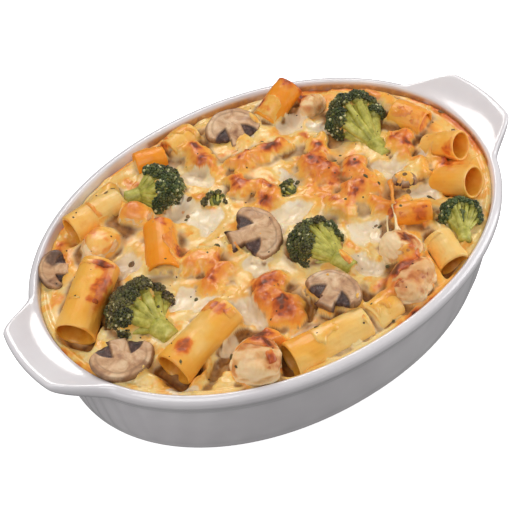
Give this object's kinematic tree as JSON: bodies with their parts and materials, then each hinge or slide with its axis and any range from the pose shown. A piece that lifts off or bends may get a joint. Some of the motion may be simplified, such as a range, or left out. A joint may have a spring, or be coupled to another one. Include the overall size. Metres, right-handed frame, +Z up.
{
  "type": "baked pasta in a gratin dish",
  "caption": "Baked rigatoni with broccoli, mushroom slices, chicken and melted cheese in an oval white ceramic gratin dish with two lugs.",
  "frame": {"origin": "middle of the dish's foot, on the surface that the dish stands on", "axes": "+X along the dish's length towards one lug, +Y across its width, away from the side with the open rigatoni, +Z up"},
  "size_m": [0.3146, 0.207, 0.0775],
  "materials": {
    "dish": "glossy white glaze",
    "filling": "melted cheese over cream sauce, baked brown in patches",
    "rigatoni": "baked pasta under a thin skin of cheese",
    "broccoli": "dark green buds on pale green stalks",
    "mushroom": "tan cut face with dark gills",
    "chicken": "pale meat, browned on top"
  },
  "bodies": {
    "root": {"dish": "dish", "filling": "filling", "rigatoni_front_left": "rigatoni", "rigatoni_front": "rigatoni", "rigatoni_rim_front": "rigatoni", "rigatoni_rim_short": "rigatoni", "rigatoni_right_front": "rigatoni", "rigatoni_right_open": "rigatoni", "rigatoni_right_wide": "rigatoni", "rigatoni_right_back": "rigatoni", "rigatoni_back_raised": "rigatoni", "rigatoni_back_left": "rigatoni", "rigatoni_golden": "rigatoni", "rigatoni_toasted": "rigatoni", "rigatoni_back_middle": "rigatoni", "rigatoni_back_orange": "rigatoni", "broccoli_back_left": "broccoli", "broccoli_front_left": "broccoli", "broccoli_centre": "broccoli", "broccoli_back_right": "broccoli", "broccoli_right": "broccoli", "broccoli_small": "broccoli", "broccoli_sprig": "broccoli", "mushroom_front_left": "mushroom", "mushroom_front": "mushroom", "mushroom_centre": "mushroom", "mushroom_back": "mushroom", "mushroom_left_rim": "mushroom", "mushroom_right": "mushroom", "chicken_front": "chicken", "chicken_right": "chicken", "chicken_right_front": "chicken", "chicken_left": "chicken", "chicken_back_left": "chicken", "chicken_back_right": "chicken"}
  },
  "joints": []
}
